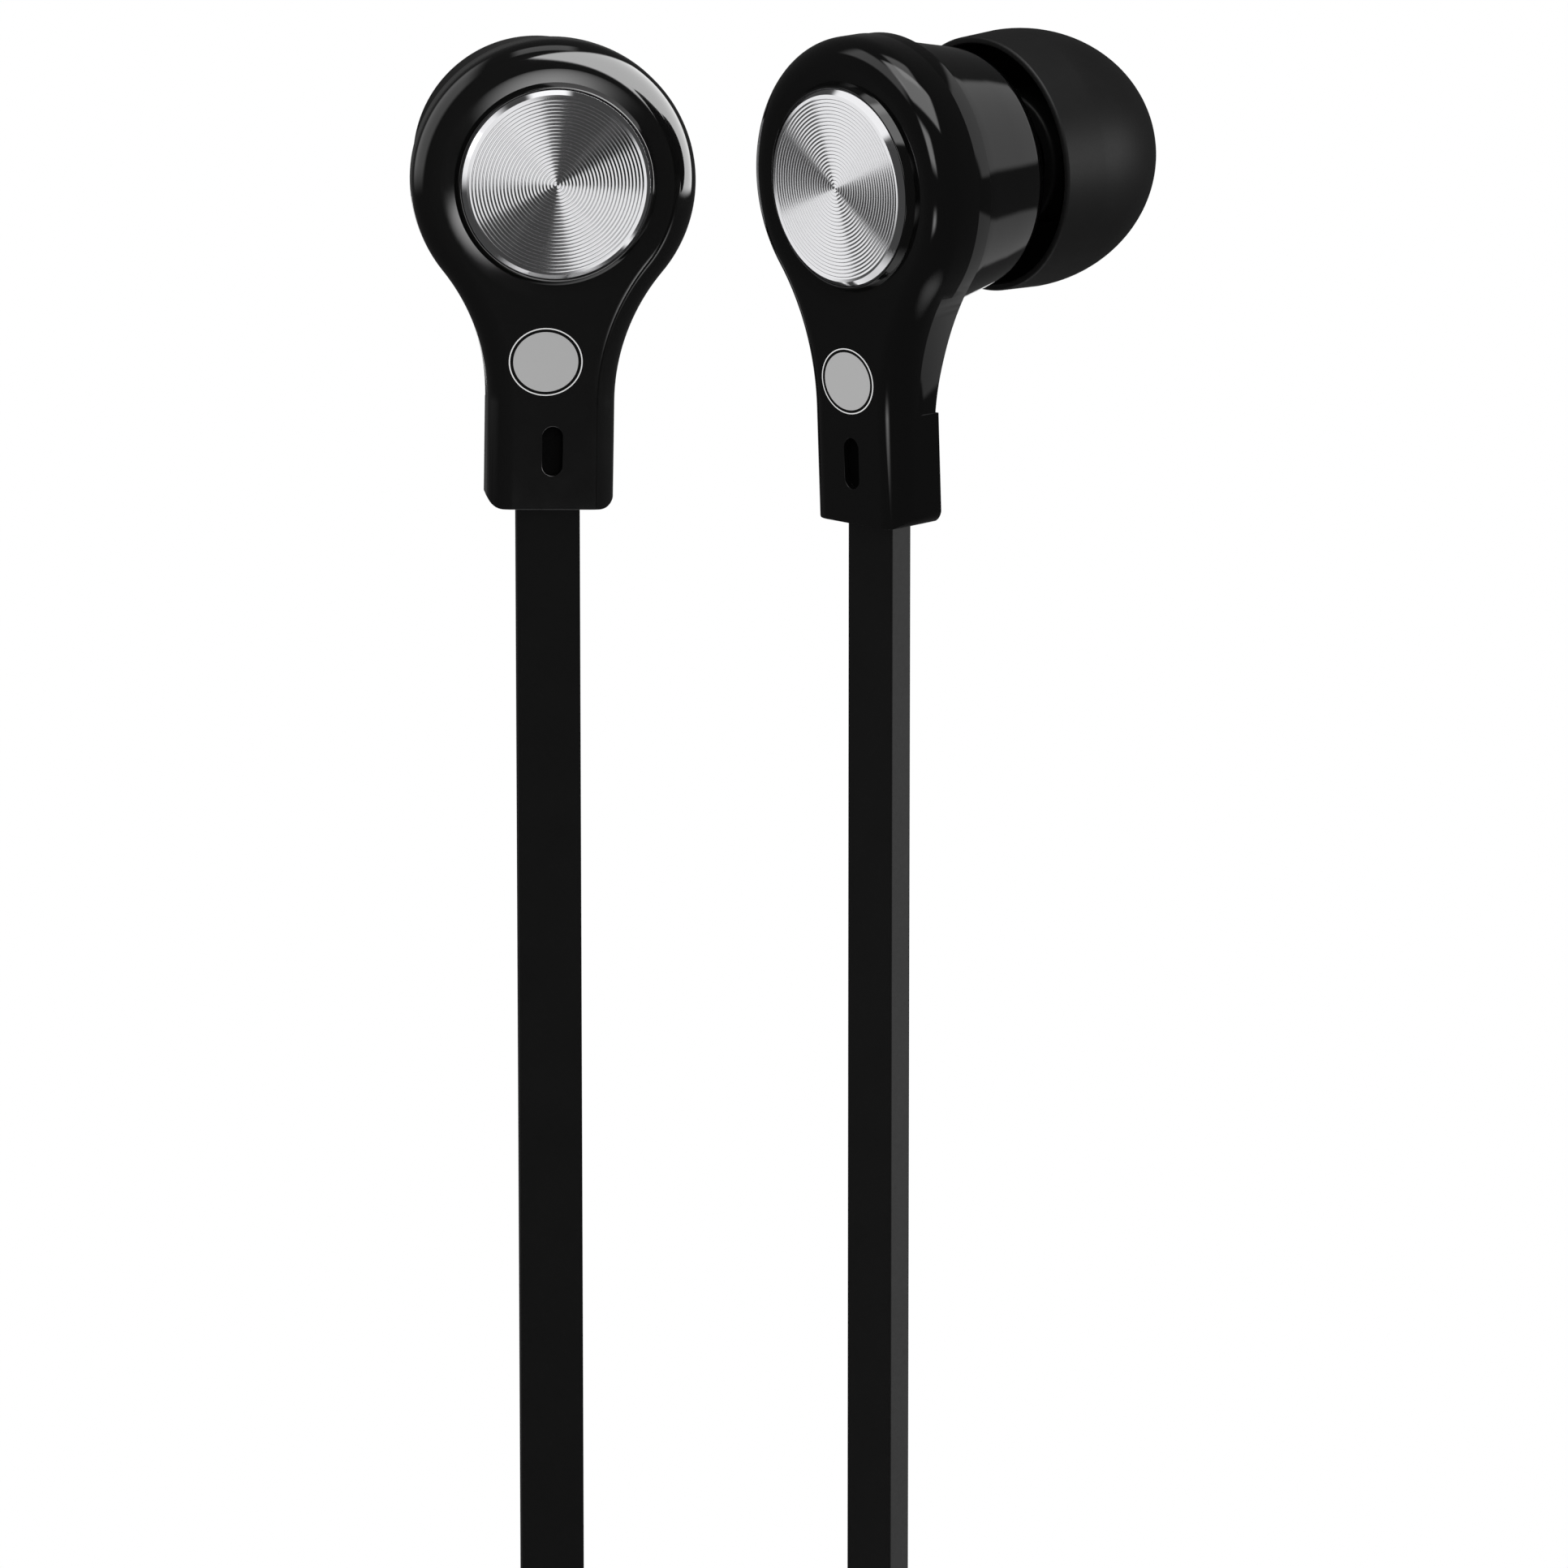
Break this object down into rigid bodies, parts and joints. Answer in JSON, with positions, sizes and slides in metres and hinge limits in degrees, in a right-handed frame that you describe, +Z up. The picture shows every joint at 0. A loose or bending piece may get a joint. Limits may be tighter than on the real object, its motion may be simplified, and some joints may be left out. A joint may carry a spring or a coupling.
{
  "type": "wired earphones",
  "caption": "Wired in-ear earphones with round metal-faced buds, soft ear tips, flat cord, splitter and headphone plug, hanging with the rest of the cord wound up",
  "frame": {"origin": "The front end of the left ear tip, on the axis of the left sound nozzle, where the ear canal holds it.", "axes": "+Y is the way the left nozzle points, into the ear. +Z is up with the leads hanging down. +X is to the right, seen from the metal disc."},
  "size_m": [0.0446, 0.0445, 0.1596],
  "materials": {
    "piano_black": "polished, mirror-like black",
    "spun_aluminium": "fine circular spin marks, polished bevel",
    "driver_plastic": "matte",
    "driver_steel": "satin",
    "magnet": "nickel-plated",
    "coil_copper": "enamelled copper",
    "film": "thin polymer film",
    "steel_mesh": "fine woven mesh",
    "wire_jacket": "satin",
    "board": "matte",
    "silicone": "soft matte silicone",
    "cord": "satin elastomer jacket",
    "moulding": "satin elastomer moulding",
    "plug_metal": "satin",
    "plug_gold": "gold-plated",
    "insulator": "satin",
    "tie_rubber": "matte"
  },
  "bodies": {
    "earphones": {"left_face_shell": "piano_black", "left_ear_shell": "piano_black", "left_disc": "spun_aluminium", "left_driver_frame": "driver_plastic", "left_yoke": "driver_steel", "left_magnet": "magnet", "left_pole_plate": "driver_steel", "left_surround": "film", "left_driver_ring": "driver_plastic", "left_nozzle_mesh": "steel_mesh", "left_cable_clamp": "driver_plastic", "left_wires": "wire_jacket", "left_terminal_board": "board", "left_lead": "cord", "left_coil": "cord", "right_face_shell": "piano_black", "right_ear_shell": "piano_black", "right_disc": "spun_aluminium", "right_driver_frame": "driver_plastic", "right_yoke": "driver_steel", "right_magnet": "magnet", "right_pole_plate": "driver_steel", "right_surround": "film", "right_driver_ring": "driver_plastic", "right_nozzle_mesh": "steel_mesh", "right_cable_clamp": "driver_plastic", "right_wires": "wire_jacket", "right_terminal_board": "board", "right_lead": "cord", "right_coil": "cord", "main_lead": "cord", "main_coil": "cord", "plug_lead": "cord", "splitter_front": "moulding", "splitter_back": "moulding", "plug_relief": "moulding", "plug_handle": "moulding", "plug_collar": "plug_metal", "plug_sleeve": "plug_gold", "plug_ring": "plug_gold", "plug_tip": "plug_gold", "plug_insulators": "insulator", "cable_tie": "tie_rubber"},
    "left_tip": {"left_ear_tip": "silicone"},
    "right_tip": {"right_ear_tip": "silicone"},
    "left_cone": {"left_voice_coil": "coil_copper", "left_diaphragm": "film"},
    "right_cone": {"right_voice_coil": "coil_copper", "right_diaphragm": "film"}
  },
  "joints": [
    {"name": "left_tip_pull", "type": "slide", "parent": "earphones", "child": "left_tip", "axis": [0, 1, 0], "range_m": [0, 0.008]},
    {"name": "right_tip_pull", "type": "slide", "parent": "earphones", "child": "right_tip", "axis": [0.822, 0.5671, 0.0523], "range_m": [0, 0.008]},
    {"name": "left_cone_slide", "type": "slide", "parent": "earphones", "child": "left_cone", "axis": [0, 1, 0], "range_m": [-0.00015, 0.00015], "stiffness_N_per_m": 400, "deforming": ["left_surround"]},
    {"name": "right_cone_slide", "type": "slide", "parent": "earphones", "child": "right_cone", "axis": [0.822, 0.5671, 0.0523], "range_m": [-0.00015, 0.00015], "stiffness_N_per_m": 400, "deforming": ["right_surround"]}
  ]
}
